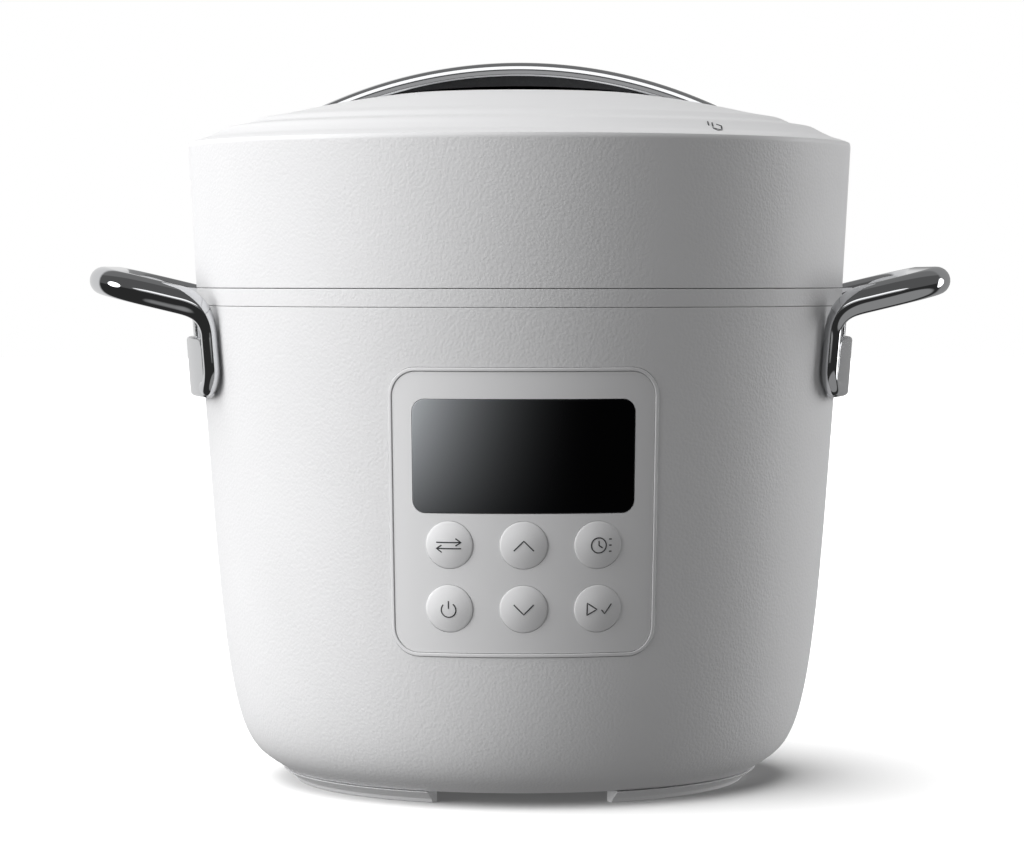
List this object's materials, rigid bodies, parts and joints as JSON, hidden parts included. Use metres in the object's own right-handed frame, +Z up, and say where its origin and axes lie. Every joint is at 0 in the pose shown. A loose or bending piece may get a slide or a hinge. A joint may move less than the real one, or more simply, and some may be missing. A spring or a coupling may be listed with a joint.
{
  "type": "electric pressure cooker",
  "caption": "Round electric pressure multi-cooker with a twist-off lid, lift-out pot, chrome side handles, lid strap handle, display window and push buttons",
  "frame": {"origin": "on the floor, under the middle of the body", "axes": "+Z up, control panel towards -Y, side handles along +X and -X"},
  "size_m": [0.3028, 0.237, 0.2566],
  "materials": {
    "casing": "fine leather-like moulded texture",
    "panel": "smooth satin",
    "lid": "fine leather-like texture on the side, satin on top",
    "window": "black gloss",
    "handle_chrome": "polished",
    "handle_bracket": "satin chrome",
    "steel": "brushed",
    "pot_coating": "dark non-stick coating",
    "heater_alloy": "cast and turned",
    "silicone": "translucent white silicone",
    "valve_plastic": "satin",
    "dark_plastic": "fine texture",
    "board": "green solder mask",
    "screw_steel": "zinc plated"
  },
  "bodies": {
    "base": {"outer_body": "casing", "body_collar": "lid", "base_plate": "casing", "foot_left": "casing", "foot_right": "casing", "panel_trim": "panel", "control_panel": "panel", "display_window": "window", "display_module": "board", "switch_carrier": "board", "power_board": "board", "power_inlet": "dark_plastic", "inlet_pin_left": "screw_steel", "inlet_pin_right": "screw_steel", "left_handle": "handle_chrome", "right_handle": "handle_chrome", "left_handle_bracket": "handle_bracket", "right_handle_bracket": "handle_bracket", "pot_housing": "steel", "heating_plate": "heater_alloy", "sensor_spring": "screw_steel", "heat_shield": "steel", "base_screw_1": "screw_steel", "base_screw_2": "screw_steel", "base_screw_3": "screw_steel", "left_handle_bolt_1": "screw_steel", "left_handle_bolt_2": "screw_steel", "right_handle_bolt_1": "screw_steel", "right_handle_bolt_2": "screw_steel"},
    "pot": {"inner_pot": "pot_coating"},
    "sensor": {"temperature_sensor": "heater_alloy"},
    "seal": {"gasket": "silicone"},
    "lid": {"lid_cover": "lid", "lid_handle": "handle_chrome", "lid_handle_screw_left": "screw_steel", "lid_handle_screw_right": "screw_steel", "lock_ring": "steel", "pressure_lid": "steel", "vent_pipe": "steel", "filter_cap": "steel"},
    "valve": {"steam_valve": "valve_plastic"},
    "float_pin": {"float_valve": "steel", "float_seal": "silicone"},
    "button_mode": {"button_mode": "panel"},
    "button_up": {"button_up": "panel"},
    "button_timer": {"button_timer": "panel"},
    "button_cancel": {"button_cancel": "panel"},
    "button_down": {"button_down": "panel"},
    "button_start": {"button_start": "panel"}
  },
  "joints": [
    {"name": "lid_lift", "type": "slide", "parent": "base", "child": "seal", "axis": [0, 0, 1], "range_m": [0, 0.34]},
    {"name": "lid_turn", "type": "hinge", "parent": "seal", "child": "lid", "pos_m": [0, 0, 0.184], "axis": [0, 0, -1], "range_deg": [0, 30]},
    {"name": "pot_lift", "type": "slide", "parent": "base", "child": "pot", "axis": [0, 0, 1], "range_m": [0, 0.16]},
    {"name": "valve_turn", "type": "hinge", "parent": "lid", "child": "valve", "pos_m": [0, 0.06, 0.2424], "axis": [0, 0, 1], "range_deg": [0, 45]},
    {"name": "float_rise", "type": "slide", "parent": "lid", "child": "float_pin", "axis": [0, 0, 1], "range_m": [0, 0.004]},
    {"name": "sensor_press", "type": "slide", "parent": "base", "child": "sensor", "axis": [0, 0, -1], "range_m": [0, 0.002], "stiffness_N_per_m": 800, "springref_m": -0.0015, "deforming": ["sensor_spring"]},
    {"name": "press_mode", "type": "slide", "parent": "base", "child": "button_mode", "axis": [0.2251, 0.9711, 0.0791], "range_m": [0, 0.001], "stiffness_N_per_m": 900, "springref_m": -0.0006},
    {"name": "press_up", "type": "slide", "parent": "base", "child": "button_up", "axis": [0, 0.9969, 0.0791], "range_m": [0, 0.001], "stiffness_N_per_m": 900, "springref_m": -0.0006},
    {"name": "press_timer", "type": "slide", "parent": "base", "child": "button_timer", "axis": [-0.2251, 0.9711, 0.0791], "range_m": [0, 0.001], "stiffness_N_per_m": 900, "springref_m": -0.0006},
    {"name": "press_cancel", "type": "slide", "parent": "base", "child": "button_cancel", "axis": [0.2247, 0.9695, 0.0976], "range_m": [0, 0.001], "stiffness_N_per_m": 900, "springref_m": -0.0006},
    {"name": "press_down", "type": "slide", "parent": "base", "child": "button_down", "axis": [0, 0.9952, 0.0976], "range_m": [0, 0.001], "stiffness_N_per_m": 900, "springref_m": -0.0006},
    {"name": "press_start", "type": "slide", "parent": "base", "child": "button_start", "axis": [-0.2247, 0.9695, 0.0976], "range_m": [0, 0.001], "stiffness_N_per_m": 900, "springref_m": -0.0006}
  ],
  "couplings": [
    {"joint": "pot_lift", "follows": "lid_lift", "ratio": 0.47}
  ]
}
